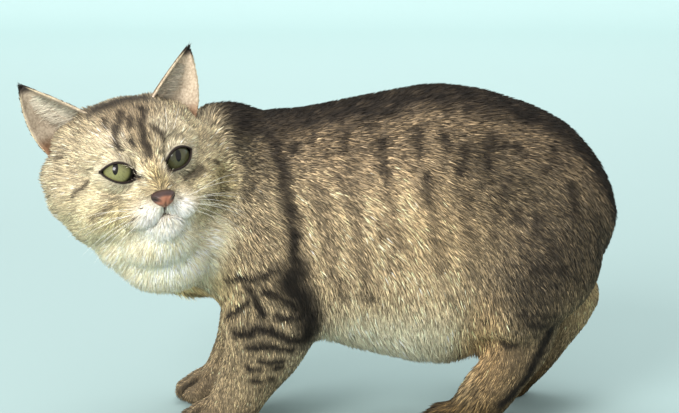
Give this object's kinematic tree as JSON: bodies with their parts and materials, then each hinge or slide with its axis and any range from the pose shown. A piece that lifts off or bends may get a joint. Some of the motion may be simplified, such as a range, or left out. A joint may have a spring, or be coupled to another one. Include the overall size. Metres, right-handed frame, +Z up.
{
  "type": "manx cat",
  "caption": "Tabby Manx cat standing in profile on four legs, life size, rounded tailless rump, head turned to its left, with cupped upright ears, lids, nose and mouth line.",
  "frame": {"origin": "bottom centre of the whole cat's bounding box, on the floor under the soles", "axes": "+X from the head's end to the rump, +Y to the cat's right, +Z up"},
  "size_m": [0.4142, 0.1952, 0.276],
  "materials": {
    "coat": "dense tabby fur, black bars on grizzled grey-brown, cream on the belly, throat and chin",
    "nose_leather": "bare brick-pink skin with a dark rim",
    "eye_gloss": "wet, clear cornea over an olive-green iris"
  },
  "bodies": {
    "root": {"head": "coat", "nose": "nose_leather", "eye_left": "eye_gloss", "eye_right": "eye_gloss", "ear_left": "coat", "ear_right": "coat", "neck": "coat", "chest": "coat", "abdomen": "coat", "croup": "coat", "thigh_left": "coat", "thigh_right": "coat", "foreleg_left": "coat", "foreleg_right": "coat", "forepaw_left": "coat", "forepaw_right": "coat", "hindleg_left": "coat", "hindleg_right": "coat", "hindpaw_left": "coat", "hindpaw_right": "coat"}
  },
  "joints": []
}
